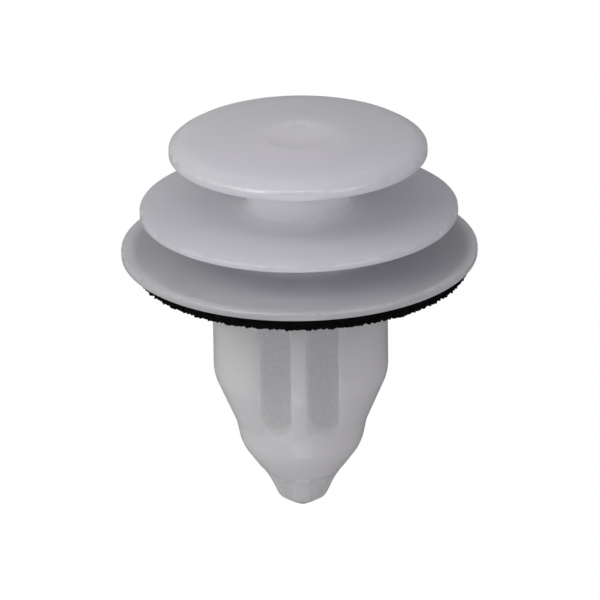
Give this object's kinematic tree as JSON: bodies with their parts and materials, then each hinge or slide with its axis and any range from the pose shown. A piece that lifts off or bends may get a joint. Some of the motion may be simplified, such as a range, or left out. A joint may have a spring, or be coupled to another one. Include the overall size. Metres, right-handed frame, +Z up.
{
  "type": "trim panel retainer",
  "caption": "Push-in trim panel retainer: domed head, collar and flange in natural nylon, slotted shank with a cross-shaped point, foam sealing ring under the flange.",
  "frame": {"origin": "under the middle of the part's box, on the floor that it lies on", "axes": "the clip lies on the edge of its flange and the edge where its cone begins; its own axis is in the YZ plane, its head towards +Y and raised, its point towards -Y, and +Z is up"},
  "size_m": [0.02, 0.0228, 0.0181],
  "materials": {
    "natural_nylon": "satin",
    "black_foam": "matt, open cut pores"
  },
  "bodies": {
    "root": {"retainer": "natural_nylon", "sealing_washer": "black_foam"}
  },
  "joints": []
}
